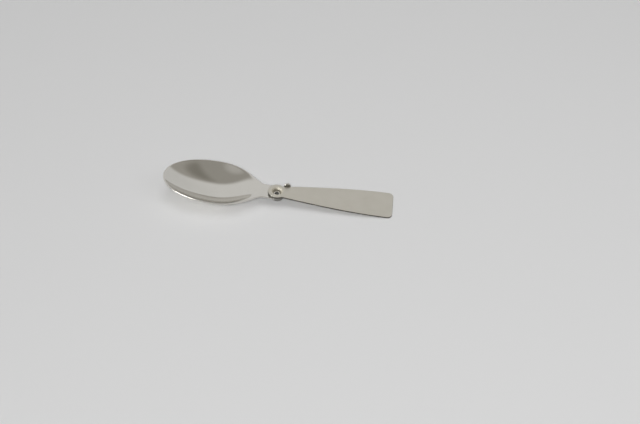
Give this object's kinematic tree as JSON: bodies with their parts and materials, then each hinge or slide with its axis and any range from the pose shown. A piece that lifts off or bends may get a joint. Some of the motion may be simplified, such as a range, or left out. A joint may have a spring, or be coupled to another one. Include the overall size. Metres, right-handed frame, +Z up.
{
  "type": "folding spoon",
  "caption": "Folding spoon with a polished pressed bowl and a flat flared handle that swivels on a hollow rivet, opens against a stop lug and folds over the bowl.",
  "frame": {"origin": "on the table, below the middle of the open spoon's box", "axes": "+X along the open handle from the bowl towards the handle's end, +Y towards the stop lug's side, +Z up"},
  "size_m": [0.1391, 0.0364, 0.0125],
  "materials": {
    "polished_steel": "polished",
    "satin_steel": "satin",
    "rivet_steel": "semi-bright",
    "washer_steel": "dull"
  },
  "bodies": {
    "bowl_side": {"bowl": "polished_steel", "rivet": "rivet_steel", "friction_washer": "washer_steel"},
    "handle_side": {"handle": "satin_steel"}
  },
  "joints": [
    {"name": "handle_fold", "type": "hinge", "parent": "bowl_side", "child": "handle_side", "pos_m": [-0.00035, -0.00269, 0.00606], "axis": [-0.093, 0, -0.9957], "range_deg": [0, 184]}
  ]
}
